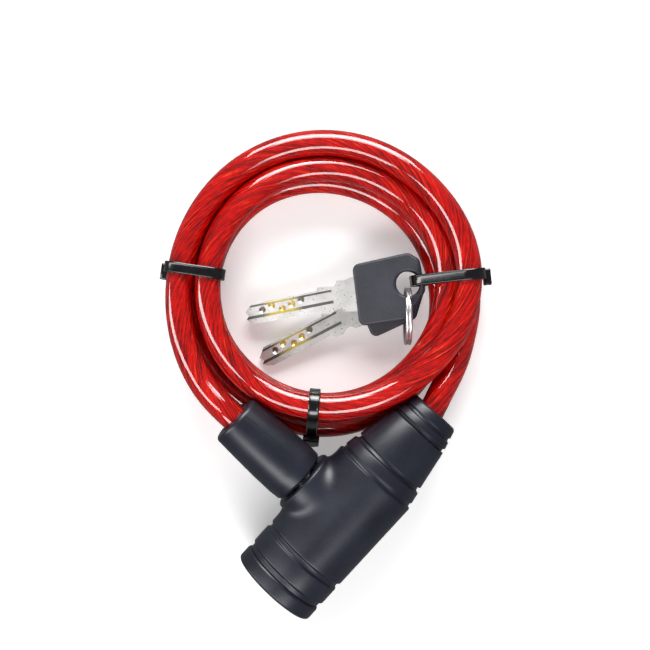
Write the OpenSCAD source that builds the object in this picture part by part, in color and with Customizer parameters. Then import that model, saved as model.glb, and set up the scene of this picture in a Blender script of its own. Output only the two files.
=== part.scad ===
// Keyed cable lock: a lock body with a side port, a coiled cable with a bolt on
// its free end, three cable ties, and two keys on a split ring.
// Lies on its side on z = 0. Millimetres.

/* [Cable] */
// Diameter of the jacketed cable
cable_d = 8; // [7.6:0.1:8]
// Height of the cable bundle's underside above the resting plane
bundle_z = 1.3; // [1.2:0.05:1.4]

/* [Lock body] */
// Outer diameter of the lock body
body_d = 28.5; // [28:0.1:29]
// Length of the lock body, key end to cable end
body_len = 74; // [73.5:0.1:75]
// Distance from the key end to the axis of the side port
port_pos = 31; // [30.8:0.1:31.2]
// Outer diameter of the side port's lip
collar_d = 20.8; // [20:0.1:21.4]
// Diameter of the cable end of the body
tip_d = 16.4; // [16:0.1:17]
// Depth of the ring grooves
groove = 0.7; // [0.4:0.1:0.9]

/* [Lock cylinder] */
// Diameter of the plug that the key turns
plug_d = 12; // [11.9:0.05:12]
// Width of the keyway
keyway_w = 7.2; // [7:0.1:7.6]
// Height of the keyway
keyway_h = 2.6; // [2.4:0.1:2.8]

/* [Bolt] */
// Diameter of the shackle pin
pin_d = 8; // [7.9:0.05:8]
// Length of the bolt cap
cap_len = 27.2; // [26.6:0.1:27.6]
// Largest diameter of the bolt cap
cap_d = 18.6; // [18:0.1:18.8]
// Diameter of the bolt cap where the cable enters
cap_end_d = 16.4; // [16:0.1:17]

/* [Keys] */
// Length of a key from its ring hole to its tip
key_reach = 52.4; // [50:0.2:53]
// Width of a key blade
blade_w = 6.6; // [6.2:0.1:6.8]
// Thickness of a key blade
blade_t = 2.2; // [2:0.1:2.2]
// Thickness of a key head
head_t = 3.6; // [3.2:0.1:3.6]
// Radius of the ring hole in a key head
hole_r = 3.9; // [3.85:0.05:3.95]
// Mean radius of the split ring
ring_r = 8.5; // [8.4:0.05:8.6]
// Wire diameter of the split ring
wire_d = 1.1; // [1:0.05:1.1]

/* [Cable ties] */
// Width of a tie strap
tie_w = 3.4; // [3:0.1:3.4]

/* [Hidden] */
$fn = 64;

// centre of the cable coil in the part's frame
coil_x = -3.97;
coil_y = 44.97;
// lock body: key-end centre relative to the coil centre, and its attitude
lock_x = -15.7;
lock_y = -92.15;
lock_z = 14.27;
lock_yaw = 47.5;
lock_tilt = 1.5;
lock_roll = 6;
R = cable_d / 2;
zl = bundle_z + R;          // centre height of the lower strands
br = body_d / 2;
// ring hole of the keys relative to the coil centre
hole_x = 26.2;
hole_y = 2;
key_1_z = 11.9;
key_2_z = 6.7;
key_1_dir = 190.9;
key_2_dir = 207.5;
key_1_dip = 9;
key_2_dip = 6;

// ---- helpers -------------------------------------------------------------
module at_coil() translate([coil_x, coil_y, 0]) children();
module in_lock() at_coil() translate([lock_x, lock_y, lock_z])
    rotate([0, 0, lock_yaw]) rotate([0, -lock_tilt, 0]) rotate([lock_roll, 0, 0]) children();
// a solid of revolution about the body axis, outline as [along, radius] pairs
module turn_u(p) rotate([0, 90, 0]) rotate_extrude() polygon([for (q = p) [q[1], q[0]]]);
// the same about the port axis
module turn_v(p) translate([port_pos, 0, 0]) rotate([-90, 0, 0]) rotate_extrude() polygon([for (q = p) [q[1], q[0]]]);
module bar_u(r, a, b) translate([a, 0, 0]) rotate([0, 90, 0]) cylinder(r = r, h = b - a);
module bar_v(r, a, b) translate([port_pos, a, 0]) rotate([-90, 0, 0]) cylinder(r = r, h = b - a);
module bar_w(r, u, y, a, b) translate([u, y, a]) cylinder(r = r, h = b - a);
module slab(u0, u1, y0, y1, z0, z1) translate([u0, y0, z0]) cube([u1 - u0, y1 - y0, z1 - z0]);

// convex outline round circles of radius r at pts (counter-clockwise), arcs in equal steps
function heading(v) = atan2(v[1], v[0]);
function bundle(pts, r) = let (n = len(pts)) [for (i = [0 : n - 1])
    let (a = heading(pts[i] - pts[(i + n - 1) % n]), b = heading(pts[(i + 1) % n] - pts[i]),
        turn = (b - a + 720) % 360, k = max(2, ceil(turn / 15)))
    for (j = [0 : k]) let (c = a - 90 + turn * j / k) pts[i] + r * [cos(c), sin(c)]];

// ---- swept tubes ----------------------------------------------------------
function unit(v) = v / norm(v);
function lock_to_coil(p) = let (
        r = lock_roll, t = lock_tilt, y = lock_yaw,
        a = [p[0], p[1] * cos(r) - p[2] * sin(r), p[1] * sin(r) + p[2] * cos(r)],
        b = [a[0] * cos(t) - a[2] * sin(t), a[1], a[0] * sin(t) + a[2] * cos(t)])
    [b[0] * cos(y) - b[1] * sin(y) + lock_x, b[0] * sin(y) + b[1] * cos(y) + lock_y, b[2] + lock_z];
function polar(q) = [q[1] * cos(q[0]), q[1] * sin(q[0]), q[2]];
function spline(p, i, t) = let (n = len(p),
        a = p[max(i - 1, 0)], b = p[i], c = p[min(i + 1, n - 1)], d = p[min(i + 2, n - 1)])
    0.5 * (2 * b + (c - a) * t + (2 * a - 5 * b + 4 * c - d) * t * t + (3 * b - a - 3 * c + d) * t * t * t);
function smooth_path(p, k) = concat([for (i = [0 : len(p) - 2]) for (j = [0 : k - 1]) spline(p, i, j / k)], [p[len(p) - 1]]);
function tangent(p, i) = unit(p[min(i + 1, len(p) - 1)] - p[max(i - 1, 0)]);
module tube(p, r, sides) {
    n = len(p);
    pts = [for (i = [0 : n - 1]) let (t = tangent(p, i), s = unit(cross(t, [0, 0, 1])), u = cross(s, t))
        for (k = [0 : sides - 1]) p[i] + r * (cos(k * 360 / sides) * s + sin(k * 360 / sides) * u)];
    faces = concat(
        [[for (k = [0 : sides - 1]) k]],
        [for (i = [0 : n - 2]) for (k = [0 : sides - 1]) let (m = (k + 1) % sides)
            [i * sides + k, (i + 1) * sides + k, (i + 1) * sides + m, i * sides + m]],
        [[for (k = [sides - 1 : -1 : 0]) (n - 1) * sides + k]]);
    polyhedron(pts, faces);
}
function helix(r, turns, h, k) = [for (i = [0 : turns * k]) [r * cos(i * 360 / k), r * sin(i * 360 / k), i * h / (turns * k)]];

// the cable's centre line in the coil, from the lock end to the bolt end: [angle, radius, height]
route = [
    [-1088, 45.47, 7.18], [-1076, 44.96, 6.78], [-1064, 44.54, 6.42], [-1052, 44.18, 6.12], [-1040, 43.88, 5.86], [-1028, 43.63, 5.66],
    [-1016, 43.42, 5.51], [-1004, 43.31, 5.40], [-992, 43.32, 5.34], [-980, 43.45, 5.31], [-968, 43.69, 5.30], [-956, 43.97, 5.30],
    [-944, 44.21, 5.30], [-932, 44.39, 5.30], [-920, 44.46, 5.30], [-908, 44.42, 5.30], [-896, 44.24, 5.30], [-884, 43.92, 5.30],
    [-872, 43.46, 5.30], [-860, 42.94, 5.30], [-848, 42.52, 5.30], [-836, 42.34, 5.30], [-824, 42.34, 5.31], [-812, 42.31, 5.31],
    [-800, 42.12, 5.31], [-788, 41.73, 5.30], [-776, 41.13, 5.30], [-764, 40.33, 5.30], [-752, 39.40, 5.30], [-740, 38.44, 5.30],
    [-728, 37.56, 5.30], [-716, 36.75, 5.30], [-704, 36.03, 5.30], [-692, 35.46, 5.30], [-680, 35.03, 5.30], [-668, 34.68, 5.30],
    [-656, 34.49, 5.30], [-644, 34.49, 5.30], [-632, 34.69, 5.30], [-620, 35.02, 5.30], [-608, 35.45, 5.31], [-596, 35.88, 5.40],
    [-584, 36.21, 5.61], [-572, 36.42, 5.94], [-560, 36.54, 6.39], [-548, 36.59, 6.94], [-536, 36.56, 7.56], [-524, 36.46, 8.20],
    [-512, 36.27, 8.79], [-500, 36.00, 9.27], [-488, 35.79, 9.61], [-476, 35.75, 9.84], [-464, 35.84, 10.04], [-452, 35.99, 10.29],
    [-440, 36.14, 10.67], [-428, 36.28, 11.16], [-416, 36.39, 11.74], [-404, 36.53, 12.34], [-392, 36.83, 12.87], [-380, 37.36, 13.22],
    [-368, 37.98, 13.30], [-356, 38.44, 13.18], [-344, 38.62, 12.96], [-332, 38.55, 12.75], [-320, 38.34, 12.60], [-308, 38.10, 12.52],
    [-296, 37.93, 12.52], [-284, 37.82, 12.57], [-272, 37.73, 12.70], [-260, 37.60, 12.87], [-248, 37.40, 13.07], [-236, 37.14, 13.30],
    [-224, 36.85, 13.58], [-212, 36.54, 13.94], [-200, 36.25, 14.38], [-188, 36.03, 14.92], [-176, 35.89, 15.53], [-164, 35.86, 16.18],
    [-152, 35.92, 16.78], [-140, 36.03, 17.26], [-128, 36.09, 17.61], [-116, 36.04, 17.83], [-104, 35.94, 18.03], [-92, 35.97, 18.29],
    [-80, 36.29, 18.66], [-68, 36.90, 19.14], [-56, 37.75, 19.63], [-44, 38.81, 20.01], [-32, 40.15, 20.13], [-20, 41.80, 19.91],
    [-8, 43.42, 19.42], [4, 44.57, 18.81], [16, 45.06, 18.17], [28, 45.09, 17.59], [40, 44.98, 17.07], [52, 44.98, 16.59],
    [64, 45.11, 16.07], [76, 45.26, 15.52], [88, 45.38, 14.96], [100, 45.45, 14.39], [112, 45.43, 13.88], [124, 45.34, 13.50],
    [136, 45.17, 13.30], [148, 44.98, 13.27], [160, 44.86, 13.44], [172, 44.90, 13.87], [184, 45.21, 14.62], [196, 45.79, 15.69],
    [208, 46.54, 17.03], [220, 47.32, 18.50], [232, 47.98, 19.95]];
coil_r = [for (q = route) [q[0], q[1]]];
coil_z = [for (q = route) [q[0], q[2]]];
function on_route(t) = [t, lookup(t, coil_r), lookup(t, coil_z)];
// strands that cross the radial plane at angle a, as [radius, height]; the last half turn
// to the bolt is a separate piece
function strands(a) = [for (k = [0 : 3]) let (t = a - 360 * k, q = on_route(t))
    if ((k > 0 || a <= 184) && t >= -1090) [q[1], q[2]]];
// convex outline round circles of radius r at the points c, k corners
function far(c, d) = let (m = max([for (q = c) q * d])) [for (q = c) if (q * d > m - 0.0001) q][0];
function outline(c, r, k) = [for (i = [0 : k - 1]) let (d = [cos(i * 360 / k), sin(i * 360 / k)]) far(c, d) + r * d];
// how far the coil's section stays inside the strands, where the lock lies against it and the bolt cap slides past it
slim = [[-8, 0], [208, 0], [217, 0.5], [226, 1.65], [235, 1.9], [244, 1.5], [253, 0.4], [277, 0.3], [286, 1.4], [295, 1.7],
    [322, 1.7], [331, 0.6], [343, 0]];
module coil_loft(k) {
    angles = [for (i = [0 : 39]) -8 + 9 * i];
    pts = [for (a = angles) for (q = outline(strands(a), R - lookup(a, slim), k)) [q[0] * cos(a), q[0] * sin(a), q[1]]];
    n = len(angles);
    faces = [for (i = [0 : n - 1]) for (j = [0 : k - 1]) let (h = (i + 1) % n, m = (j + 1) % k,
        f = [[i * k + j, i * k + m, h * k + m], [i * k + j, h * k + m, h * k + j]]) each f];
    polyhedron(pts, faces);
}

// cable route to the lock body
lead_lock_polar = [[-9, 45.4, 7.2], [-18.8, 45.9, 8.2], [-25.5, 46.4, 10.4], [-34.2, 47.1, 13.3], [-41.5, 48, 15.7]];
lead_lock_route = concat([for (q = lead_lock_polar) polar(q)],
    [for (q = [[74.4, 1.3], [69.4, 0.3], [64.5, 0], [60.1, 0]]) lock_to_coil([q[0], q[1], 0])]);
// cable route to the bolt
lead_bolt_route = concat([for (t = [204.5, 211, 218, 225]) polar(on_route(t))],
    [for (v = [48, 43, 37.02]) lock_to_coil([port_pos, v, 0])]);

// ---- lock body --------------------------------------------------------------
tr = tip_d / 2;
g = groove;
module body_shell() color("#34363d") in_lock() difference() {
    union() {
        turn_u([[5.05, 0], [5.05, br - g], [6.6, br - g], [7.1, br], [13, br], [13.4, br - g], [14.8, br - g], [15.2, br],
            [46.6, br], [47, br - g - 0.2], [48, br - g - 0.3], [48.4, br - 0.6], [51.8, br - 1.2], [52.2, br - g - 1.5],
            [53.2, br - g - 1.9], [53.6, br - 1.75], [66.2, tr + 2.1], [66.2, 0]]);
        turn_v([[0, 0], [0, 11.6], [10, 11.6], [12.6, collar_d / 2 + 0.25], [16, collar_d / 2], [16.5, collar_d / 2 - 0.5], [16.5, 0]]);
    }
    bar_u(11.55, 4, 46.02);
    turn_u([[46, 0], [46, 11.55], [48, 8.85], [67, 8.85], [67, 0]]);
    bar_v(7, 9, 17);
}
module key_end_cap() color("#34363d") in_lock() difference() {
    turn_u([[0, 0], [0, br - 0.6], [0.6, br], [4.4, br], [5, br - 0.5], [5, 0]]);
    bar_u(8.25, -1, 6);
}
module cable_end_cap() color("#34363d") in_lock() difference() {
    turn_u([[60.4, 0], [60.4, 8.8], [66.25, 8.8], [66.25, tr + 1.3], [67.2, tr + 1.2], [67.5, tr + 1.75], [69.6, tr + 1.2],
        [69.9, tr + 0.5], [70.7, tr + 0.3], [71, tr + 0.8], [body_len - 0.6, tr + 0.1], [body_len, tr - 0.5], [body_len, 0]]);
    turn_u([[60, 0], [60, 4.4], [66.5, 4.4], [70.5, 5.1], [body_len + 1, 6.4], [body_len + 1, 0]]);
}

// ---- lock works --------------------------------------------------------------
pin_u = [6.5, 10, 13.5, 17];
pr = plug_d / 2;
module lock_housing() color("#9a9ca0") in_lock() difference() {
    turn_u([[0.8, 0], [0.8, 8.2], [5.05, 8.2], [5.05, 11.5], [45.5, 11.5], [47.7, 8.75], [60, 8.75], [60, 0]]);
    bar_u(6.05, 0, 20.6);
    bar_u(6.98, 0, 1.65);
    bar_u(7.6, 20.5, 25);
    slab(23, 26.1, -3.9, 3.9, -3.6, 7);
    slab(24, 33.4, -1.65, 1.65, 2.3, 6.95);
    bar_w(2.4, 30, 0, 6.8, 12);
    for (u = pin_u) bar_w(1.35, u, 0, 5, 12);
    slab(4.4, 19.2, -1.65, 1.65, 10.5, 12);
    bar_v(4.08, -6.6, 12);
    bar_u(5.25, 43.5, 61);
    translate([52, -9, 0]) rotate([-90, 0, 0]) cylinder(r = 1.27, h = 18);
}
module plug_core() color("#c8a24a") in_lock() difference() {
    union() {
        bar_u(pr, 0.5, 21.6);
        bar_u(6.9, 0.5, 1.55);
    }
    slab(0, 20, -keyway_w / 2, keyway_w / 2, -keyway_h / 2, keyway_h / 2);
    slab(0, 20, -1.6, -0.7, -keyway_h / 2 - 0.5, 0);
    slab(0, 20, 1.1, 1.9, 0, keyway_h / 2 + 0.5);
    for (u = pin_u) bar_w(1.35, u, 0, 0, 7);
    difference() { bar_u(7, 20.7, 21.5); bar_u(5, 20, 22); }
}
module key_pins() color("#d6b25a") in_lock() for (i = [0 : 3])
    translate([pin_u[i], 0, 0.5 + 0.15 * (i % 2)]) {
        translate([0, 0, 0.9]) cylinder(r = 1.25, h = 4.15 - 0.15 * (i % 2));
        cylinder(r1 = 0.5, r2 = 1.25, h = 0.9);
    }
module driver_pins() color("#b8bcc4") in_lock() for (u = pin_u) translate([u, 0, 6.15]) {
    cylinder(r = 1.25, h = 1.3);
    cylinder(r = 0.7, h = 1.85);
}
module pin_springs() color("#c9ccd2") in_lock() for (u = pin_u)
    translate([u, 0, 7.62]) tube(helix(1.02, 4, 2.7, 10), 0.13, 6);
module pin_cover() color("#c8a24a") in_lock() slab(5.15, 19, -1.6, 1.6, 10.5, 11.3);
module plug_clip() color("#6d7077") in_lock() difference() {
    bar_u(7, 20.72, 21.48);
    bar_u(5.05, 20, 22);
    slab(20, 22, -8, 0, -3.2, 3.2);
}
module plug_cam() color("#b9952f") in_lock() {
    bar_u(6.2, 21.6, 23.6);
    translate([0, 0, 1.8]) bar_u(1, 23.5, 26);
}
module locking_pawl() color("#8f949c") in_lock() difference() {
    union() {
        slab(24.2, 25.8, -3.6, 3.5, -1.2, 6.6);
        slab(24.2, 33, -1.4, 1.4, 4.5, 6.6);
    }
    slab(24, 26, -3.1, 1.4, 0.1, 3.5);
    bar_w(0.9, 30, 0, 6.2, 7);
}
module pawl_spring() color("#c9ccd2") in_lock() translate([30, 0, 6.9]) tube(helix(1.7, 4, 3.2, 12), 0.25, 6);
module pawl_spring_cap() color("#c8a24a") in_lock() bar_w(2.38, 30, 0, 10.4, 11.2);
module anchor_ferrule() color("#aeb2ba") in_lock() difference() {
    bar_u(5.2, 44, 60);
    bar_u(2.6, 43, 61);
    translate([52, -9, 0]) rotate([-90, 0, 0]) cylinder(r = 1.27, h = 18);
}
module anchor_pin() color("#7d8189") in_lock() translate([52, -8.4, 0]) rotate([-90, 0, 0]) cylinder(r = 1.25, h = 16.8);
module port_seal() color("#1c1d20") in_lock() difference() {
    turn_v([[11.7, 0], [11.7, 6.95], [15.9, 6.95], [15.9, 0]]);
    bar_v(4.5, 11, 17);
    difference() { bar_v(5.9, 13, 14.4); bar_v(3, 12, 15); }
}

// ---- bolt on the free end ------------------------------------------------------
cap_0 = 17.3;
module shackle_pin() color("#c3c7ce") in_lock() turn_v([[-6, 0], [-6, 2.8], [-4.8, pin_d / 2], [-1.8, pin_d / 2],
    [-1.8, 2.4], [1.8, 2.4], [1.8, pin_d / 2], [18.35, pin_d / 2], [18.35, 6], [20.3, 6], [20.3, 3], [27, 3], [27, 0]]);
module bolt_ferrule() color("#aeb2ba") in_lock() difference() {
    bar_v(6, 20.3, 37);
    bar_v(3.02, 20, 27.05);
    bar_v(2.6, 27, 38);
}
module bolt_cap() color("#34363d") in_lock() difference() {
    turn_v([[cap_0, 0], [cap_0, cap_d / 2 - 0.9], [cap_0 + 0.7, cap_d / 2 - 0.2], [cap_0 + 4, cap_d / 2],
        [cap_0 + 11, cap_d / 2 - 0.15], [cap_0 + 19, cap_d / 2 - 0.6], [cap_0 + cap_len - 0.8, cap_end_d / 2],
        [cap_0 + cap_len, cap_end_d / 2 - 0.7], [cap_0 + cap_len, 0]]);
    bar_v(4.3, cap_0 - 1, cap_0 + 2);
    bar_v(6.02, cap_0 + 1.04, 37);
    bar_v(4.3, 36.9, cap_0 + cap_len + 1);
}

// ---- cable -----------------------------------------------------------------------
module cable_coil() color("#c8140c") at_coil() coil_loft(20);
module cable_lead_lock() color("#c8140c") at_coil() tube(smooth_path(lead_lock_route, 2), R, 12);
module cable_lead_bolt() color("#c8140c") at_coil() tube(smooth_path(lead_bolt_route, 3), R, 12);

// ---- ties ------------------------------------------------------------------------
// a strap round the strands c in the radial plane at angle a, with its head in that plane
module tie(c, a, head, turn) at_coil() rotate([0, 0, a]) rotate([90, 0, 0]) {
    linear_extrude(tie_w, center = true) difference() {
        polygon(outline(c, R + 1.25, 40));
        polygon(outline(c, R + 0.2, 40));
    }
    translate([head[0], head[1], 0]) rotate([0, 0, turn])
        linear_extrude(5, center = true) polygon([[0, -2.2], [1.8, -2], [2.1, -1.6], [2.1, 1.6], [1.8, 2], [0, 2.2]]);
}
module tie_left() color("#15161a") tie(strands(171.5), 171.5, [49.2, 8.8], 0);
module tie_right() color("#15161a") tie(concat(strands(5.8), [[32.3, zl], [32.3, zl + 7.9]]), 5.8, [49.8, 12.4], 0);
module tie_bottom() color("#15161a") tie(strands(265), 265, [46.2, 8.9], 27);

// ---- keys ------------------------------------------------------------------------
module in_key(z, dir, dip) at_coil() translate([hole_x, hole_y, z]) rotate([0, 0, dir]) rotate([0, dip, 0]) children();
hb = blade_w / 2;
bow_0 = 5.2;
module blade() difference() {
    translate([0, 0, -blade_t / 2]) linear_extrude(blade_t) polygon([
        [bow_0, -5.4], [17, -5.4], [19.4, -4.9], [21.8, -5.2], [23, -3.6], [26.4, -4.1], [28.2, -hb - 1], [28.8, -hb],
        [key_reach - 2.6, -hb], [key_reach - 0.4, -hb + 2.2], [key_reach, -0.9], [key_reach - 1, 0.4], [key_reach, 1.4],
        [key_reach - 1.2, hb - 0.8], [key_reach - 3, hb], [28.6, hb], [27.6, hb + 1.2], [25.4, hb + 1.4], [24.2, 3.9],
        [22, 3.6], [20.8, 4.9], [17, 5.4], [bow_0, 5.4]]);
    for (s = [-1, 1]) {
        translate([24, s * 1.1 - 0.45, s > 0 ? blade_t / 2 - 0.5 : -blade_t / 2 - 0.5]) cube([40, 0.9, 1]);
        translate([24, -s * 2.4 - 0.3, s > 0 ? blade_t / 2 - 0.4 : -blade_t / 2 - 0.6]) cube([40, 0.6, 1]);
    }
    for (i = [0 : 4]) for (s = [-1, 1])
        translate([34 + 3.2 * i, -1.5 + 0.8 * (i % 3), s * (blade_t / 2 + 0.01)]) mirror([0, 0, s > 0 ? 1 : 0])
            cylinder(r1 = 1.15, r2 = 0.35, h = 0.55);
}
head_pts = [[-2.6, -5.8], [-1, -7.2], [14, -6.9], [15.1, 8.1], [3.4, 8.6], [-2.6, 2.4]];
module head() difference() {
    translate([0, 0, -head_t / 2]) linear_extrude(head_t) polygon(bundle(head_pts, 2.2));
    translate([bow_0 - 0.02, -5.42, -blade_t / 2 - 0.02]) cube([14, 10.84, blade_t + 0.04]);
    translate([0, 0, -5]) cylinder(r = hole_r, h = 10);
}
module key_1_blade() color("#c9ccd0") in_key(key_1_z, key_1_dir, key_1_dip) blade();
module key_1_head() color("#45474d") in_key(key_1_z, key_1_dir, key_1_dip) head();
module key_2_blade() color("#c9ccd0") in_key(key_2_z, key_2_dir, key_2_dip) blade();
module key_2_head() color("#45474d") in_key(key_2_z, key_2_dir, key_2_dip) head();
module key_ring() color("#c9ccd0") at_coil()
    translate([hole_x, hole_y - 1.65 - ring_r, ring_r + wire_d / 2 + 0.15]) rotate([0, 90, 0]) rotate_extrude() {
        translate([ring_r, 0.53]) circle(r = wire_d / 2);
        translate([ring_r, -0.53]) circle(r = wire_d / 2);
    }

body_shell();
key_end_cap();
cable_end_cap();
lock_housing();
plug_core();
key_pins();
driver_pins();
pin_springs();
pin_cover();
plug_clip();
plug_cam();
locking_pawl();
pawl_spring();
pawl_spring_cap();
anchor_ferrule();
anchor_pin();
port_seal();
shackle_pin();
bolt_ferrule();
bolt_cap();
cable_coil();
cable_lead_lock();
cable_lead_bolt();
tie_left();
tie_right();
tie_bottom();
key_1_blade();
key_1_head();
key_2_blade();
key_2_head();
key_ring();
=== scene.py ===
"""Keyed cable lock lying flat: looks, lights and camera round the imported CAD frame.
Lengths in this file are millimetres until MM turns them into metres."""
import math

import bpy
import numpy as np
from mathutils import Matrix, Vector


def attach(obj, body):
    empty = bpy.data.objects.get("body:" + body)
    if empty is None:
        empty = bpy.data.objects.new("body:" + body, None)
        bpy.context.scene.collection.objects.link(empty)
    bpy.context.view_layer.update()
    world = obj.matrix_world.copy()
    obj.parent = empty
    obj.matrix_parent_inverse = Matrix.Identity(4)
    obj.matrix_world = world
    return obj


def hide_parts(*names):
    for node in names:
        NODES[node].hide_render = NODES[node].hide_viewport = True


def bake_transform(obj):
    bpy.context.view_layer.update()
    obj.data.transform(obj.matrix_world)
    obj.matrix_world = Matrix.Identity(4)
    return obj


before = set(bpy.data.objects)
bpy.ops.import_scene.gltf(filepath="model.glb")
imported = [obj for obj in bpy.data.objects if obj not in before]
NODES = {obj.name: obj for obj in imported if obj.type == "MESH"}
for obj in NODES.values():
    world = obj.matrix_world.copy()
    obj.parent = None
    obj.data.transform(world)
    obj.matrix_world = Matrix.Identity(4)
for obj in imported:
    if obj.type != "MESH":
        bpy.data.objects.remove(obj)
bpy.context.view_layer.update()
MM = 0.001
PI = math.pi

# ------------------------------------------------------------------ camera
cam_data = bpy.data.cameras.new("camera")
cam_data.lens = 78.0
cam_data.sensor_width = 36.0
cam_data.clip_start = 0.01
cam_data.clip_end = 20
camera = bpy.data.objects.new("camera", cam_data)
camera.location = (-3.66 * MM, 34.09 * MM, 0.450)
bpy.context.scene.collection.objects.link(camera)
bpy.context.scene.camera = camera
bpy.context.scene.view_settings.view_transform = "Standard"


# ------------------------------------------------------------------ frames of reference
def rot(axis, deg):
    c, s = math.cos(math.radians(deg)), math.sin(math.radians(deg))
    return np.array({"x": [[1, 0, 0], [0, c, -s], [0, s, c]],
                     "y": [[c, 0, s], [0, 1, 0], [-s, 0, c]],
                     "z": [[c, -s, 0], [s, c, 0], [0, 0, 1]]}[axis], float)


COIL = np.array([-3.97, 44.97, 0.0])
LOCK = COIL + np.array([-15.7, -92.15, 14.27])
LM = rot("z", 47.5) @ rot("y", -1.5) @ rot("x", 6)
HOLE = np.array([26.2, 2.0])
KEYS = {1: (11.9, 190.9, 9), 2: (6.7, 207.5, 6)}


def in_lock(p):
    """Points (along body, along port, up) of the lock in the row frame."""
    return LOCK + np.asarray(p, float) @ LM.T


def key_axes(n):
    z, d, dip = KEYS[n]
    return COIL + np.array([HOLE[0], HOLE[1], z]), rot("z", d) @ rot("y", dip)


# ------------------------------------------------------------------ mesh helpers
def build(name, verts, faces, material, body, smooth=True, sharp=35):
    me = bpy.data.meshes.new(name)
    me.from_pydata([tuple(v) for v in (np.asarray(verts) * MM)], [], [tuple(int(i) for i in f) for f in faces])
    me.validate()
    me.update()
    o = bpy.data.objects.new(name, me)
    bpy.context.scene.collection.objects.link(o)
    if material:
        me.materials.append(material)
    if smooth:
        me.polygons.foreach_set("use_smooth", [True] * len(me.polygons))
        if sharp:
            me.set_sharp_from_angle(angle=math.radians(sharp))
    if body:
        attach(o, body)
    return o


def merge(parts):
    """One vertex and face list out of several."""
    vs, fs, k = [], [], 0
    for v, f in parts:
        vs.append(np.asarray(v, float))
        fs += [[i + k for i in q] for q in f]
        k += len(v)
    return np.concatenate(vs), fs


def soften(p, r, closed=False, n=4):
    """Corners of an outline rounded to about radius r."""
    p = [np.asarray(q, float) for q in p]
    out = []
    m = len(p)
    for i in range(m):
        if not closed and i in (0, m - 1):
            out.append(p[i])
            continue
        a, b, c = p[i - 1], p[i], p[(i + 1) % m]
        la, lc = np.linalg.norm(a - b), np.linalg.norm(c - b)
        d = min(r, 0.45 * la, 0.45 * lc)
        s, e = b + (a - b) / la * d, b + (c - b) / lc * d
        for j in range(n + 1):
            t = j / n
            out.append((1 - t) ** 2 * s + 2 * t * (1 - t) * b + t * t * e)
    return np.array(out)


def lathe(profile, segs, place, closed=False):
    """A surface of revolution. profile is [along, radius]; place(along, side, up) gives points."""
    profile = np.asarray(profile, float)
    n = len(profile)
    a = np.arange(segs) * 2 * PI / segs
    v = np.stack([np.repeat(profile[:, 0], segs),
                  (profile[:, 1][:, None] * np.cos(a)).ravel(),
                  (profile[:, 1][:, None] * np.sin(a)).ravel()], 1)
    f = []
    for i in range(n if closed else n - 1):
        k = (i + 1) % n
        for j in range(segs):
            m = (j + 1) % segs
            f.append([i * segs + j, i * segs + m, k * segs + m, k * segs + j])
    return place(v), f


def about_u(v):
    return in_lock(v)


def about_v(v):
    return in_lock(np.stack([31 + v[:, 1], v[:, 0], v[:, 2]], 1))


def chord_spline(p, step):
    """A natural cubic spline through points p, resampled evenly by its length."""
    p = np.asarray(p, float)
    t = np.concatenate([[0], np.cumsum(np.linalg.norm(np.diff(p, axis=0), axis=1))])
    n = len(p)
    h = np.diff(t)
    A = np.zeros((n, n))
    B = np.zeros((n, p.shape[1]))
    A[0, 0] = A[-1, -1] = 1
    for i in range(1, n - 1):
        A[i, i - 1], A[i, i], A[i, i + 1] = h[i - 1], 2 * (h[i - 1] + h[i]), h[i]
        B[i] = 6 * ((p[i + 1] - p[i]) / h[i] - (p[i] - p[i - 1]) / h[i - 1])
    m = np.linalg.solve(A, B)
    x = np.linspace(0, t[-1], int(t[-1] / 0.4))
    k = np.clip(np.searchsorted(t, x, side="right") - 1, 0, n - 2)
    hh, u, w = h[k][:, None], (t[k + 1] - x)[:, None], (x - t[k])[:, None]
    q = (m[k] * u ** 3 + m[k + 1] * w ** 3) / (6 * hh) + (p[k] / hh - m[k] * hh / 6) * u + (p[k + 1] / hh - m[k + 1] * hh / 6) * w
    s = np.concatenate([[0], np.cumsum(np.linalg.norm(np.diff(q, axis=0), axis=1))])
    e = np.linspace(0, s[-1], max(2, int(round(s[-1] / step)) + 1))
    return np.stack([np.interp(e, s, q[:, i]) for i in range(p.shape[1])], 1), s[-1]


def transport(p):
    """Tangents and a pair of normals that don't twist along p."""
    t = np.gradient(p, axis=0)
    t /= np.linalg.norm(t, axis=1)[:, None]
    n = np.zeros_like(t)
    a = np.cross(t[0], [0, 0, 1.0])
    if np.linalg.norm(a) < 0.1:
        a = np.cross(t[0], [1.0, 0, 0])
    n[0] = a / np.linalg.norm(a)
    for i in range(1, len(p)):
        a = n[i - 1] - t[i] * (n[i - 1] @ t[i])
        n[i] = a / np.linalg.norm(a)
    return t, n, np.cross(t, n)


LAY = 0.088  # turn of the rope's wires about its axis, radians per mm


def tube(p, r, sides, s0=0.0, ends=True, turn0=0.0):
    """A swept tube: vertices, faces and, for the wire rope pattern, a place round and along it.
    r is one radius or one for each point."""
    t, n, b = transport(p)
    r = np.broadcast_to(np.asarray(r, float), (len(p),))
    a = np.arange(sides) * 2 * PI / sides
    v = (p[:, None] + r[:, None, None] * (np.cos(a)[None, :, None] * n[:, None] + np.sin(a)[None, :, None] * b[:, None])).reshape(-1, 3)
    s = s0 + np.concatenate([[0], np.cumsum(np.linalg.norm(np.diff(p, axis=0), axis=1))])
    w = a[None, :] - LAY * s[:, None] + turn0
    rope = np.stack([4 * np.cos(w), 4 * np.sin(w), np.broadcast_to(s[:, None], w.shape)], 2).reshape(-1, 3)
    f = [[i * sides + j, i * sides + (j + 1) % sides, (i + 1) * sides + (j + 1) % sides, (i + 1) * sides + j]
         for i in range(len(p) - 1) for j in range(sides)]
    if ends:
        f.append([j for j in range(sides)][::-1])
        f.append([(len(p) - 1) * sides + j for j in range(sides)])
    return v, f, rope


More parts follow.
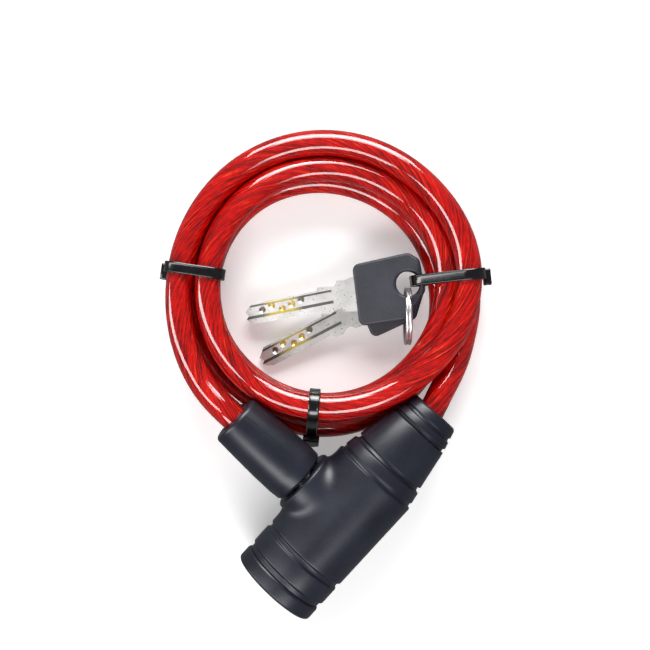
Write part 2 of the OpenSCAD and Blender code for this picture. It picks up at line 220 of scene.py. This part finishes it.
# ------------------------------------------------------------------ materials
def new_material(name):
    m = bpy.data.materials.new(name)
    m.use_nodes = True
    nt = m.node_tree
    return m, nt, nt.nodes["Principled BSDF"]


def link(nt, a, b):
    nt.links.new(a, b)


def noise(nt, source, scale, detail=3.0, rough=0.6, stretch=None):
    if stretch:
        mp = nt.nodes.new("ShaderNodeMapping")
        mp.inputs["Scale"].default_value = stretch
        link(nt, source, mp.inputs["Vector"])
        source = mp.outputs["Vector"]
    n = nt.nodes.new("ShaderNodeTexNoise")
    n.inputs["Scale"].default_value = scale
    n.inputs["Detail"].default_value = detail
    n.inputs["Roughness"].default_value = rough
    link(nt, source, n.inputs["Vector"])
    return n.outputs["Fac"]


def ramp(nt, fac, stops):
    r = nt.nodes.new("ShaderNodeValToRGB")
    while len(r.color_ramp.elements) < len(stops):
        r.color_ramp.elements.new(0.5)
    for e, (p, c) in zip(r.color_ramp.elements, stops):
        e.position = p
        e.color = (*c, 1) if len(c) == 3 else c
    link(nt, fac, r.inputs["Fac"])
    return r.outputs["Color"]


def spread(nt, fac, lo, hi, a=0.3, b=0.7):
    m = nt.nodes.new("ShaderNodeMapRange")
    m.inputs["From Min"].default_value = a
    m.inputs["From Max"].default_value = b
    m.inputs["To Min"].default_value = lo
    m.inputs["To Max"].default_value = hi
    link(nt, fac, m.inputs["Value"])
    return m.outputs["Result"]


def relief(nt, height, distance, strength=1.0):
    b = nt.nodes.new("ShaderNodeBump")
    b.inputs["Distance"].default_value = distance
    b.inputs["Strength"].default_value = strength
    link(nt, height, b.inputs["Height"])
    return b.outputs["Normal"]


def plain(name, dark, light, rough, metallic=0.0, grain=1500, wide=60, bump=0.00003, coat=0.0, stretch=None, specular=0.5):
    """A surface with a fine grain, slow changes of colour and gloss, and a little relief."""
    m, nt, bsdf = new_material(name)
    tc = nt.nodes.new("ShaderNodeTexCoord").outputs["Object"]
    fine = noise(nt, tc, grain, 3, 0.6, stretch)
    slow = noise(nt, tc, wide, 3, 0.5)
    mix = nt.nodes.new("ShaderNodeMath")
    mix.operation = "MULTIPLY_ADD"
    mix.inputs[1].default_value = 0.45
    link(nt, fine, mix.inputs[0])
    half = nt.nodes.new("ShaderNodeMath")
    half.operation = "MULTIPLY"
    half.inputs[1].default_value = 0.55
    link(nt, slow, half.inputs[0])
    link(nt, half.outputs[0], mix.inputs[2])
    link(nt, ramp(nt, mix.outputs[0], [(0.36, dark), (0.64, light)]), bsdf.inputs["Base Color"])
    link(nt, spread(nt, mix.outputs[0], rough * 0.86, rough * 1.14), bsdf.inputs["Roughness"])
    bsdf.inputs["Metallic"].default_value = metallic
    bsdf.inputs["Specular IOR Level"].default_value = specular
    if coat:
        bsdf.inputs["Coat Weight"].default_value = coat
        bsdf.inputs["Coat Roughness"].default_value = 0.08
    link(nt, relief(nt, fine, bump), bsdf.inputs["Normal"])
    return m


def rope_material(name):
    """Clear red jacket over a wire rope: helical wires seen through a glossy skin, with glints painted on the wires
    and shade painted between them.
    """
    m, nt, bsdf = new_material(name)
    at = nt.nodes.new("ShaderNodeAttribute")
    at.attribute_name = "rope"
    v = at.outputs["Vector"]
    wires = noise(nt, v, 1.0, 2.0, 0.55, (1.9, 1.9, 0.07))      # streaks along the wires
    fine = noise(nt, v, 1.0, 3.0, 0.6, (4.2, 4.2, 0.24))
    painted_glint_spots = noise(nt, v, 1.0, 2.0, 0.6, (0.9, 0.9, 0.5))            # painted glints broken up along the wires
    a = nt.nodes.new("ShaderNodeMath")
    a.operation = "MULTIPLY_ADD"
    a.inputs[1].default_value = 0.5
    link(nt, wires, a.inputs[0])
    b = nt.nodes.new("ShaderNodeMath")
    b.operation = "MULTIPLY_ADD"
    b.inputs[1].default_value = 0.32
    link(nt, fine, b.inputs[0])
    c = nt.nodes.new("ShaderNodeMath")
    c.operation = "MULTIPLY"
    c.inputs[1].default_value = 0.18
    link(nt, painted_glint_spots, c.inputs[0])
    link(nt, c.outputs[0], b.inputs[2])
    link(nt, b.outputs[0], a.inputs[2])
    f = a.outputs[0]
    # the ramp's dark stops are painted shade between the wires, its middle reds the wires' own tone, its orange top
    # painted glints on them
    col = ramp(nt, f, [(0.38, (0.13, 0.0, 0.0)), (0.45, (0.33, 0.0, 0.0)), (0.52, (0.6, 0.001, 0.0005)),
                       (0.59, (0.8, 0.008, 0.001)), (0.68, (1.0, 0.11, 0.012))])
    link(nt, col, bsdf.inputs["Base Color"])
    link(nt, spread(nt, f, 0.55, 0.32, 0.38, 0.62), bsdf.inputs["Roughness"])
    bsdf.inputs["Metallic"].default_value = 0.0
    bsdf.inputs["Specular IOR Level"].default_value = 0.04
    bsdf.inputs["Coat Weight"].default_value = 1.0
    bsdf.inputs["Coat Roughness"].default_value = 0.035
    bsdf.inputs["Coat IOR"].default_value = 1.55
    link(nt, relief(nt, f, 0.0008, 1.0), bsdf.inputs["Normal"])
    return m


lock_black = plain("lock_black", (0.010, 0.0115, 0.020), (0.020, 0.023, 0.038), 0.37, 0.0, 2600, 70, 0.000008, specular=0.3)
cap_black = plain("cap_black", (0.010, 0.012, 0.020), (0.020, 0.024, 0.038), 0.35, 0.0, 2600, 70, 0.000008, specular=0.3)
zinc = plain("zinc_cast", (0.33, 0.33, 0.35), (0.5, 0.5, 0.52), 0.42, 1.0, 1400, 90, 0.00005)
brass = plain("brass_turned", (0.55, 0.38, 0.14), (0.8, 0.6, 0.27), 0.28, 1.0, 2200, 120, 0.00002)
steel = plain("steel_hard", (0.38, 0.39, 0.41), (0.6, 0.61, 0.63), 0.3, 1.0, 2200, 120, 0.00002)
ferrule = plain("ferrule_alu", (0.55, 0.56, 0.58), (0.78, 0.79, 0.81), 0.36, 1.0, 1800, 100, 0.00003)
plated = plain("pin_plated", (0.6, 0.61, 0.63), (0.8, 0.81, 0.83), 0.16, 1.0, 1500, 60, 0.000006)
rubber = plain("seal_rubber", (0.012, 0.012, 0.013), (0.03, 0.03, 0.031), 0.7, 0.0, 1800, 120, 0.00004)
nylon = plain("tie_nylon", (0.003, 0.003, 0.004), (0.008, 0.008, 0.010), 0.2, 0.0, 1200, 150, 0.000006, coat=0.3, specular=0.35)
key_grey = plain("key_plastic", (0.022, 0.0225, 0.033), (0.040, 0.041, 0.057), 0.5, 0.0, 2600, 90, 0.00003, specular=0.3)
ring_steel = plain("ring_steel", (0.55, 0.55, 0.56), (0.72, 0.72, 0.73), 0.3, 0.85, 1600, 90, 0.000001)
rope = rope_material("cable_jacket")


def key_material(n):
    """Nickel on the faces of a key blade; where it is cut below them, a dark painted shade, with worn brass about
    the middle of the dimples.
    """
    m, nt, bsdf = new_material("key_metal_%d" % n)
    o, k = key_axes(n)
    tc = nt.nodes.new("ShaderNodeTexCoord").outputs["Object"]
    off = nt.nodes.new("ShaderNodeVectorMath")
    off.operation = "SUBTRACT"
    off.inputs[1].default_value = tuple(o * MM)
    link(nt, tc, off.inputs[0])
    dot = nt.nodes.new("ShaderNodeVectorMath")
    dot.operation = "DOT_PRODUCT"
    dot.inputs[1].default_value = tuple(k[:, 2])
    link(nt, off.outputs["Vector"], dot.inputs[0])
    ab = nt.nodes.new("ShaderNodeMath")
    ab.operation = "ABSOLUTE"
    link(nt, dot.outputs["Value"], ab.inputs[0])
    cut = spread(nt, ab.outputs[0], 1.0, 0.0, 0.00088, 0.00106)
    grain = noise(nt, tc, 1500, 3, 0.6)
    slow = noise(nt, tc, 160, 3, 0.5)
    face = ramp(nt, slow, [(0.3, (0.56, 0.555, 0.54)), (0.7, (0.78, 0.775, 0.75))])
    # the plating is worn to brass only about the middle of the dimples; the rest of the cuts get a dark painted
    # shade
    reach = nt.nodes.new("ShaderNodeVectorMath")
    reach.operation = "DOT_PRODUCT"
    reach.inputs[1].default_value = tuple(k[:, 0])
    link(nt, off.outputs["Vector"], reach.inputs[0])
    far = nt.nodes.new("ShaderNodeMath")
    far.operation = "SUBTRACT"
    far.inputs[1].default_value = 0.0405
    link(nt, reach.outputs["Value"], far.inputs[0])
    near = nt.nodes.new("ShaderNodeMath")
    near.operation = "ABSOLUTE"
    link(nt, far.outputs[0], near.inputs[0])
    # dark painted shade in the cuts, worn brass about the middle of the dimples
    painted_cut_shade_and_brass = ramp(nt, spread(nt, near.outputs[0], 1.0, 0.0, 0.0035, 0.0065), [(0.0, (0.17, 0.165, 0.15)), (1.0, (0.66, 0.52, 0.14))])
    mx = nt.nodes.new("ShaderNodeMix")
    mx.data_type = "RGBA"
    link(nt, cut, mx.inputs["Factor"])
    link(nt, face, mx.inputs["A"])
    link(nt, painted_cut_shade_and_brass, mx.inputs["B"])
    link(nt, mx.outputs["Result"], bsdf.inputs["Base Color"])
    bsdf.inputs["Metallic"].default_value = 0.6
    link(nt, spread(nt, grain, 0.26, 0.36), bsdf.inputs["Roughness"])
    return m


key_metal = {1: key_material(1), 2: key_material(2)}

BY_NODE = {
    "body_shell": lock_black, "key_end_cap": lock_black, "cable_end_cap": lock_black, "bolt_cap": cap_black,
    "lock_housing": zinc, "plug_core": brass, "key_pins": brass, "pin_cover": brass, "plug_cam": brass,
    "pawl_spring_cap": brass, "driver_pins": steel, "pin_springs": steel, "plug_clip": steel, "locking_pawl": steel,
    "pawl_spring": steel, "anchor_pin": steel, "anchor_ferrule": ferrule, "bolt_ferrule": ferrule,
    "shackle_pin": plated, "port_seal": rubber, "cable_coil": rope, "cable_lead_lock": rope, "cable_lead_bolt": rope,
    "tie_left": nylon, "tie_right": nylon, "tie_bottom": nylon, "key_1_blade": key_metal[1], "key_2_blade": key_metal[2],
    "key_1_head": key_grey, "key_2_head": key_grey, "key_ring": ring_steel}
for name, o in NODES.items():
    m = BY_NODE[name]
    if not o.data.materials:
        o.data.materials.append(m)
    for i in range(len(o.data.materials)):
        o.data.materials[i] = m

# ------------------------------------------------------------------ the cable's route
# [angle, radius, height] about the coil's centre, lock end to bolt end
ROUTE = np.array([
    [-1088, 45.47, 7.18], [-1076, 44.96, 6.78], [-1064, 44.54, 6.42], [-1052, 44.18, 6.12], [-1040, 43.88, 5.86], [-1028, 43.63, 5.66],
    [-1016, 43.42, 5.51], [-1004, 43.31, 5.40], [-992, 43.32, 5.34], [-980, 43.45, 5.31], [-968, 43.69, 5.30], [-956, 43.97, 5.30],
    [-944, 44.21, 5.30], [-932, 44.39, 5.30], [-920, 44.46, 5.30], [-908, 44.42, 5.30], [-896, 44.24, 5.30], [-884, 43.92, 5.30],
    [-872, 43.46, 5.30], [-860, 42.94, 5.30], [-848, 42.52, 5.30], [-836, 42.34, 5.30], [-824, 42.34, 5.31], [-812, 42.31, 5.31],
    [-800, 42.12, 5.31], [-788, 41.73, 5.30], [-776, 41.13, 5.30], [-764, 40.33, 5.30], [-752, 39.40, 5.30], [-740, 38.44, 5.30],
    [-728, 37.56, 5.30], [-716, 36.75, 5.30], [-704, 36.03, 5.30], [-692, 35.46, 5.30], [-680, 35.03, 5.30], [-668, 34.68, 5.30],
    [-656, 34.49, 5.30], [-644, 34.49, 5.30], [-632, 34.69, 5.30], [-620, 35.02, 5.30], [-608, 35.45, 5.31], [-596, 35.88, 5.40],
    [-584, 36.21, 5.61], [-572, 36.42, 5.94], [-560, 36.54, 6.39], [-548, 36.59, 6.94], [-536, 36.56, 7.56], [-524, 36.46, 8.20],
    [-512, 36.27, 8.79], [-500, 36.00, 9.27], [-488, 35.79, 9.61], [-476, 35.75, 9.84], [-464, 35.84, 10.04], [-452, 35.99, 10.29],
    [-440, 36.14, 10.67], [-428, 36.28, 11.16], [-416, 36.39, 11.74], [-404, 36.53, 12.34], [-392, 36.83, 12.87], [-380, 37.36, 13.22],
    [-368, 37.98, 13.30], [-356, 38.44, 13.18], [-344, 38.62, 12.96], [-332, 38.55, 12.75], [-320, 38.34, 12.60], [-308, 38.10, 12.52],
    [-296, 37.93, 12.52], [-284, 37.82, 12.57], [-272, 37.73, 12.70], [-260, 37.60, 12.87], [-248, 37.40, 13.07], [-236, 37.14, 13.30],
    [-224, 36.85, 13.58], [-212, 36.54, 13.94], [-200, 36.25, 14.38], [-188, 36.03, 14.92], [-176, 35.89, 15.53], [-164, 35.86, 16.18],
    [-152, 35.92, 16.78], [-140, 36.03, 17.26], [-128, 36.09, 17.61], [-116, 36.04, 17.83], [-104, 35.94, 18.03], [-92, 35.97, 18.29],
    [-80, 36.29, 18.66], [-68, 36.90, 19.14], [-56, 37.75, 19.63], [-44, 38.81, 20.01], [-32, 40.15, 20.13], [-20, 41.80, 19.91],
    [-8, 43.42, 19.42], [4, 44.57, 18.81], [16, 45.06, 18.17], [28, 45.09, 17.59], [40, 44.98, 17.07], [52, 44.98, 16.59],
    [64, 45.11, 16.07], [76, 45.26, 15.52], [88, 45.38, 14.96], [100, 45.45, 14.39], [112, 45.43, 13.88], [124, 45.34, 13.50],
    [136, 45.17, 13.30], [148, 44.98, 13.27], [160, 44.86, 13.44], [172, 44.90, 13.87], [184, 45.21, 14.62], [196, 45.79, 15.69],
    [208, 46.54, 17.03], [220, 47.32, 18.50], [232, 47.98, 19.95]])
SEAM = 171.5     # the two cable pieces meet under the left tie


def polar(t, r, z):
    a = math.radians(t)
    return COIL + np.array([r * math.cos(a), r * math.sin(a), z])


def on_route(t):
    return float(np.interp(t, ROUTE[:, 0], ROUTE[:, 1])), float(np.interp(t, ROUTE[:, 0], ROUTE[:, 2]))


lead_lock = [in_lock([u, v, 0]) for u, v in [(60.3, 0), (64.5, 0), (69.4, 0.3), (74.4, 1.3)]]
lead_lock += [polar(*q) for q in [(-1121.5, 48, 15.7), (-1114.2, 47.1, 13.3), (-1105.5, 46.4, 10.4), (-1098.8, 45.9, 8.2)]]
turns = [polar(*q) for q in ROUTE if q[0] < 224]
lead_bolt = [in_lock([31, v, 0]) for v in (48, 43, 37.2)]
whole, total = chord_spline(lead_lock + turns + lead_bolt, 2.2)
seam_at = polar(SEAM, *on_route(SEAM))
cut = int(np.argmin(np.linalg.norm(whole - seam_at, axis=1)))
cable_length = np.concatenate([[0], np.cumsum(np.linalg.norm(np.diff(whole, axis=0), axis=1))])
R = 3.99


def rope_piece(name, p, s0, turn0, body):
    v, f, at = tube(p, R, 28, s0, True, turn0)
    o = build(name, v, f, rope, body, True, 60)
    att = o.data.attributes.new("rope", "FLOAT_VECTOR", "POINT")
    att.data.foreach_set("vector", at.astype(np.float32).ravel())
    return o


main_path, bolt_path = whole[:cut + 1], whole[cut:]
cable_main = rope_piece("cable_wound", main_path, 0.0, 0.0, "lock_and_coil")
# the normals of the second piece start where the first one's end
_, n1, _ = transport(main_path)
_, n2, b2 = transport(bolt_path)
turn = math.atan2(float(n2[0] @ np.cross(transport(main_path)[0][-1], n1[-1])), float(n2[0] @ n1[-1]))
cable_free = rope_piece("cable_to_bolt", bolt_path, float(cable_length[cut]), turn, None)
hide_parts("cable_coil", "cable_lead_lock")
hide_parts("cable_lead_bolt")
tuple(in_lock([31, 46, 0]) * MM)
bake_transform(cable_free)
tuple(in_lock([74, 1.2, 0]) * MM)


# ------------------------------------------------------------------ lock shell
BR, TR, G = 14.25, 8.2, 0.7


def with_steps(p, a, b, step):
    """Extra points on the straight stretch from a to b of an outline."""
    out = []
    for i in range(len(p) - 1):
        out.append(p[i])
        if p[i][0] >= a - 0.01 and p[i + 1][0] <= b + 0.01 and p[i + 1][0] - p[i][0] > 2 * step:
            k = int((p[i + 1][0] - p[i][0]) / step)
            out += [p[i] + (p[i + 1] - p[i]) * j / k for j in range(1, k)]
    out.append(p[-1])
    return np.array(out)


shell = soften([[5.05, 11.6], [5.05, BR - G], [6.6, BR - G], [7.1, BR], [13, BR], [13.4, BR - G], [14.8, BR - G], [15.2, BR],
                [46.6, BR], [47, BR - G - 0.2], [48, BR - G - 0.3], [48.4, BR - 0.6], [51.8, BR - 1.2], [52.2, BR - G - 1.5],
                [53.2, BR - G - 1.9], [53.6, BR - 1.75], [66.2, TR + 2.1], [66.2, 8.9]], 0.28)
shell = with_steps(shell, 15, 47, 0.8)
sv, sf = lathe(shell, 144, lambda v: v)
cen = np.array([sv[q].mean(0) for q in sf])
sf = [q for q, c in zip(sf, cen) if not (c[1] > 0 and (c[0] - 31) ** 2 + c[2] ** 2 < 9.0 ** 2)]
shell_part = (in_lock(sv), sf)


def collar():
    seg = 120
    psi = np.arange(seg) * 2 * PI / seg
    cp, sp = np.cos(psi), np.sin(psi)
    rings = []
    for v, r in soften([[9.5, 7.0], [16.1, 7.0], [16.5, 7.4], [16.5, 9.85], [16.0, 10.4], [15.4, 10.46]], 0.3):
        rings.append(np.stack([31 + r * cp, np.full(seg, v), r * sp], 1))
    a = np.stack([31 + 10.46 * cp, np.full(seg, 15.4), 10.46 * sp], 1)
    eu, ew = 14.9, 13.0
    bw = ew * sp
    bv = np.sqrt((BR - 0.04) ** 2 - bw ** 2)
    b = np.stack([31 + eu * cp, bv, bw], 1)
    tb = np.stack([eu * cp, -(bw ** 2) / bv, bw], 1)
    tb /= np.linalg.norm(tb, axis=1)[:, None]
    h1 = (0.6 * (15.4 - bv))[:, None]
    h2 = (0.62 * np.hypot((eu - 10.46) * cp, (ew - 10.46) * sp) + 0.4 * np.abs(sp) * 2.0)[:, None]
    p1 = a - h1 * np.array([0, 1.0, 0])
    p2 = b - h2 * tb
    for i in range(1, 15):
        t = i / 14
        q = (1 - t) ** 3 * a + 3 * t * (1 - t) ** 2 * p1 + 3 * t * t * (1 - t) * p2 + t ** 3 * b
        rings.append(q)
    v = np.concatenate(rings)
    f = [[i * seg + j, (i + 1) * seg + j, (i + 1) * seg + (j + 1) % seg, i * seg + (j + 1) % seg]
         for i in range(len(rings) - 1) for j in range(seg)]
    return in_lock(v), f


def ridge(points, r=0.1, sides=6):
    """A fine moulding line along points."""
    v, f, _ = tube(np.asarray(points, float), r, sides)
    return v, f


def profile_at(prof, u):
    return float(np.interp(u, prof[:, 0], prof[:, 1]))


def seam_line(prof, a, u0, u1, place, n=30, sink=0.04, r=0.1):
    us = np.linspace(u0, u1, n)
    pts = np.array([[u, (profile_at(prof, u) - sink) * math.cos(a), (profile_at(prof, u) - sink) * math.sin(a)] for u in us])
    return ridge(place(pts), r)


taper = np.array([[53.9, BR - 1.8], [65.9, TR + 2.12]])
lock_shell = build("lock_shell", *merge([shell_part, collar(),
                                         seam_line(taper, math.radians(200), 53.9, 65.8, about_u),
                                         seam_line(taper, math.radians(20), 53.9, 65.8, about_u)]),
                   lock_black, "lock_and_coil", True, 40)
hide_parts("body_shell")

key_cap = build("key_end_ring", *lathe(soften([[5.0, 8.3], [0.35, 8.3], [0, 8.6], [0, BR - 0.7], [0.6, BR], [4.4, BR], [5, BR - 0.5], [5, 8.3]], 0.35),
                                       144, about_u), lock_black, "lock_and_coil", True, 40)
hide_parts("key_end_cap")
tip = build("cable_end_ring", *lathe(soften([[60.4, 4.4], [66.5, 4.4], [70.5, 5.1], [73.7, 6.2], [74, 6.6], [74, TR - 0.5], [73.4, TR + 0.1],
                                             [71, TR + 0.8], [70.7, TR + 0.3], [69.9, TR + 0.5], [69.6, TR + 1.2], [67.5, TR + 1.75],
                                             [67.2, TR + 1.2], [66.3, TR + 1.3], [66.3, 8.8], [60.4, 8.8], [60.4, 4.4]], 0.22),
                                     120, about_u), lock_black, "lock_and_coil", True, 40)
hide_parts("cable_end_cap")

# bolt cap
CAP = soften([[18.34, 6.1], [18.34, 4.35], [17.3, 4.35], [17.3, 8.3], [18.0, 9.1], [21.3, 9.3], [28.3, 9.15], [36.3, 8.7], [43.7, 8.2],
              [44.5, 7.5], [44.5, 4.9], [44.1, 4.35], [37.0, 4.35]], 0.45)
cap_out = np.array([[18.0, 9.06], [21.3, 9.27], [28.3, 9.13], [36.3, 8.7], [43.6, 8.22]])
bolt_cap = build("bolt_cap_cover", *merge([lathe(CAP, 120, about_v),
                                          seam_line(cap_out, math.radians(62), 18.1, 43.6, about_v),
                                          seam_line(cap_out, math.radians(242), 18.1, 43.6, about_v)]),
                 cap_black, "bolt", True, 40)
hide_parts("bolt_cap")


# ------------------------------------------------------------------ ties
def strands(a, extra=()):
    out = [on_route(a - 360 * k) for k in range(4) if ROUTE[0, 0] <= a - 360 * k <= 232]
    return np.array(out + list(extra))


def tie(name, node, a, c, head, turn, width=3.4, tail=0.0, tail_side=1, shift=0.0):
    """A strap round the strands c in the radial plane at angle a, with its head at head, facing turn degrees."""
    K = 160
    d = np.arange(K) * 2 * PI / K
    d = np.stack([np.cos(d), np.sin(d)], 1)
    hull = np.array([c[np.argmax(c @ q)] for q in d])
    er, et = np.array([math.cos(math.radians(a)), math.sin(math.radians(a)), 0]), np.array([math.sin(math.radians(a)), -math.cos(math.radians(a)), 0])
    up = np.array([0, 0, 1.0])
    w = width / 2
    # section: [outwards, across]
    sec = [[0.16, -w + 0.2], [0.16, w - 0.2], [0.28, w], [1.0, w], [1.22, w - 0.35], [1.1, w - 0.7], [1.1, -w + 0.7], [1.22, -w + 0.35], [1.0, -w], [0.28, -w]]
    sec = soften(sec, 0.12, True, 2)
    n = len(sec)
    v, f = [], []
    for k in range(K):
        for o, x in sec:
            q = hull[k] + (4.0 + o) * d[k]
            v.append(COIL + q[0] * er + q[1] * up + x * et)
    for k in range(K):
        m = (k + 1) % K
        for j in range(n):
            i = (j + 1) % n
            f.append([k * n + j, m * n + j, m * n + i, k * n + i])
    # head: a rounded block, and the tail that comes out of it
    tr = math.radians(turn)
    hx, hy = np.array([math.cos(tr), math.sin(tr)]), np.array([-math.sin(tr), math.cos(tr)])
    head = np.array(head, float)

    def at(x, y, t):
        q = head + x * hx + y * hy
        return COIL + q[0] * er + q[1] * up + (t + shift) * et
    ring = soften([[0, -2.3], [2.3, -2.3], [2.3, 2.3], [0, 2.3]], 0.55, True, 4)
    levels = [(-2.55, 0.72), (-2.45, 0.86), (-2.1, 1.0), (2.1, 1.0), (2.45, 0.86), (2.55, 0.72)]
    hv, hf = [], []
    mid = np.array([1.15, 0])
    for t, k in levels:
        for q in ring:
            p = mid + (q - mid) * (1 - (1 - k) * 0.45)
            hv.append(at(p[0], p[1], t))
    m = len(ring)
    for i in range(len(levels) - 1):
        for j in range(m):
            hf.append([i * m + j, i * m + (j + 1) % m, (i + 1) * m + (j + 1) % m, (i + 1) * m + j])
    hf.append(list(range(m))[::-1])
    hf.append([(len(levels) - 1) * m + j for j in range(m)])
    parts = [(v, f), (hv, hf)]
    if tail:
        s = tail_side
        tp = [(1.3, s * 1.5, 0), (1.4, s * 2.6, 0), (1.5 + 0.12 * tail, s * (2.4 + 0.6 * tail), 0.2), (1.2 + 0.3 * tail, s * (2.2 + tail), 0.5)]
        tv, tf = [], []
        for i, (x, y, t) in enumerate(tp):
            k = 0.85 if i < 3 else 0.6
            for dx, dt in [(-0.5, -w * k), (0.5, -w * k), (0.5, w * k), (-0.5, w * k)]:
                tv.append(at(x + dx, y, t + dt))
        for i in range(3):
            for j in range(4):
                tf.append([i * 4 + j, i * 4 + (j + 1) % 4, (i + 1) * 4 + (j + 1) % 4, (i + 1) * 4 + j])
        tf += [[3, 2, 1, 0], [12, 13, 14, 15]]
        parts.append((tv, tf))
    o = build(name, *merge(parts), nylon, "lock_and_coil", True, 35)
    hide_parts(node)
    return o


tie("tie_strap_left", "tie_left", 171.5, strands(171.5), [49.0, 8.8], 0, tail=1.2, tail_side=-1, shift=-1.6)
tie("tie_strap_right", "tie_right", 5.8, strands(5.8, [(32.3, 5.3), (32.3, 13.2)]), [49.6, 12.4], 0, tail=1.0, tail_side=-1, shift=1.1)
tie("tie_strap_bottom", "tie_bottom", 265, strands(265), [46.2, 8.9], 27, tail=0.8, tail_side=-1)


# ------------------------------------------------------------------ keys
def plate(name, outline, hole, thick, bevel, place, material, body):
    """A flat plate with rounded edges, cut to outline and with a round hole in it."""
    cu = bpy.data.curves.new(name + "_shape", "CURVE")
    cu.dimensions = "2D"
    cu.fill_mode = "BOTH"
    for pts in [outline] + hole:
        sp = cu.splines.new("POLY")
        sp.points.add(len(pts) - 1)
        for p, q in zip(sp.points, pts):
            p.co = (q[0] * MM, q[1] * MM, 0, 1)
        sp.use_cyclic_u = True
    cu.extrude = (thick / 2 - bevel) * MM
    cu.bevel_depth = bevel * MM
    cu.bevel_resolution = 3
    cu.offset = -bevel * MM
    tmp = bpy.data.objects.new(name + "_shape", cu)
    bpy.context.scene.collection.objects.link(tmp)
    dg = bpy.context.evaluated_depsgraph_get()
    me = bpy.data.meshes.new_from_object(tmp.evaluated_get(dg))
    bpy.data.objects.remove(tmp)
    bpy.data.curves.remove(cu)
    co = np.array([v.co for v in me.vertices]) / MM
    co = place(co) * MM
    me.vertices.foreach_set("co", co.astype(np.float32).ravel())
    me.update()
    me.name = name
    o = bpy.data.objects.new(name, me)
    bpy.context.scene.collection.objects.link(o)
    me.materials.clear()
    me.materials.append(material)
    me.polygons.foreach_set("use_smooth", [True] * len(me.polygons))
    me.set_sharp_from_angle(angle=math.radians(40))
    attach(o, body)
    return o


def bundle(pts, r, step=7.5):
    pts = [np.array(p, float) for p in pts]
    n = len(pts)
    out = []
    for i in range(n):
        a = math.degrees(math.atan2(*(pts[i] - pts[i - 1])[::-1]))
        b = math.degrees(math.atan2(*(pts[(i + 1) % n] - pts[i])[::-1]))
        turn = (b - a) % 360
        k = max(2, math.ceil(turn / step))
        for j in range(k + 1):
            c = math.radians(a - 90 + turn * j / k)
            out.append(pts[i] + r * np.array([math.cos(c), math.sin(c)]))
    return out


HEAD = [[-2.6, -5.8], [-1, -7.2], [14, -6.9], [15.1, 8.1], [3.4, 8.6], [-2.6, 2.4]]
for n in (1, 2):
    o, k = key_axes(n)

    def place(v, o=o, k=k):
        return o + v @ k.T
    circle = [[3.9 * math.cos(t), 3.9 * math.sin(t)] for t in np.linspace(0, 2 * PI, 49)[:-1]]
    head = plate("key_%d_bow" % n, bundle(HEAD, 2.2), [circle], 3.6, 0.75, place, key_grey, "key_%d" % n)
    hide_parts("key_%d_head" % n)

# split ring: two turns of wire with a short step between them
rc = COIL + np.array([HOLE[0], HOLE[1] - 1.65 - 8.5, 8.5 + 0.55 + 0.15])
tt = np.linspace(0, 4 * PI - 0.1, 190)
step_at = 1 / (1 + np.exp(-(tt - 2 * PI) * 5))
xs = -0.53 + 1.06 * step_at
ringp = np.stack([xs, 8.5 * np.cos(tt + 0.9), 8.5 * np.sin(tt + 0.9)], 1) + rc
rv, rf, _ = tube(ringp, 0.53, 14)
split_ring = build("split_ring_wire", rv, rf, ring_steel, "split_ring", True, 50)
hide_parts("key_ring")

# ------------------------------------------------------------------ floor and light
floor_m, nt, bsdf = new_material("floor_pale")
bsdf.inputs["Roughness"].default_value = 0.75
bsdf.inputs["Emission Color"].default_value = (1, 1, 1, 1)
bsdf.inputs["Emission Strength"].default_value = 0.35
bsdf.inputs["Specular IOR Level"].default_value = 0.0
tc = nt.nodes.new("ShaderNodeTexCoord").outputs["Object"]
link(nt, ramp(nt, noise(nt, tc, 8, 2, 0.5), [(0.3, (0.86, 0.855, 0.855)), (0.7, (0.88, 0.875, 0.875))]), bsdf.inputs["Base Color"])
me = bpy.data.meshes.new("floor")
me.from_pydata([(-3, -3, 0), (3, -3, 0), (3, 3, 0), (-3, 3, 0)], [], [(0, 1, 2, 3)])
floor = bpy.data.objects.new("floor", me)
bpy.context.scene.collection.objects.link(floor)
me.materials.append(floor_m)
floor.visible_glossy = False

world = bpy.data.worlds.new("studio")
world.use_nodes = True
world.node_tree.nodes["Background"].inputs["Color"].default_value = (1, 1, 1, 1)
world.node_tree.nodes["Background"].inputs["Strength"].default_value = 0.2
bpy.context.scene.world = world


def area(name, at, to, size, power, colour=(1, 1, 1), along=None, glints_only=False):
    l = bpy.data.lights.new(name, "AREA")
    l.shape = "RECTANGLE"
    l.size, l.size_y = size
    l.energy = power
    l.color = colour
    o = bpy.data.objects.new(name, l)
    o.location = at
    z = (Vector(at) - Vector(to)).normalized()
    x = Vector(along).normalized() if along else Vector((0, 0, 1)).cross(z).normalized()
    x = (x - z * x.dot(z)).normalized()
    y = z.cross(x)
    from mathutils import Matrix
    o.rotation_euler = Matrix((x, y, z)).transposed().to_euler()
    bpy.context.scene.collection.objects.link(o)
    o.visible_diffuse = not glints_only
    return o


aim = (-0.004, 0.03, 0.01)
area("fill_top", (0.0, 0.62, 0.42), aim, (0.5, 0.3), 5.0)
area("fill_front", (-0.1, -0.5, 0.55), aim, (0.6, 0.3), 4.2)
area("strip_top", (0.0, 0.60, 0.24), aim, (0.7, 0.26), 8.5, glints_only=True)
area("strip_left", (-0.42, -0.02, 0.30), aim, (0.62, 0.13), 3.2, along=(0.48, -0.25, 0.5), glints_only=True)
area("soft_front", (-0.05, -0.42, 0.46), aim, (0.62, 0.2), 1.6, glints_only=True)
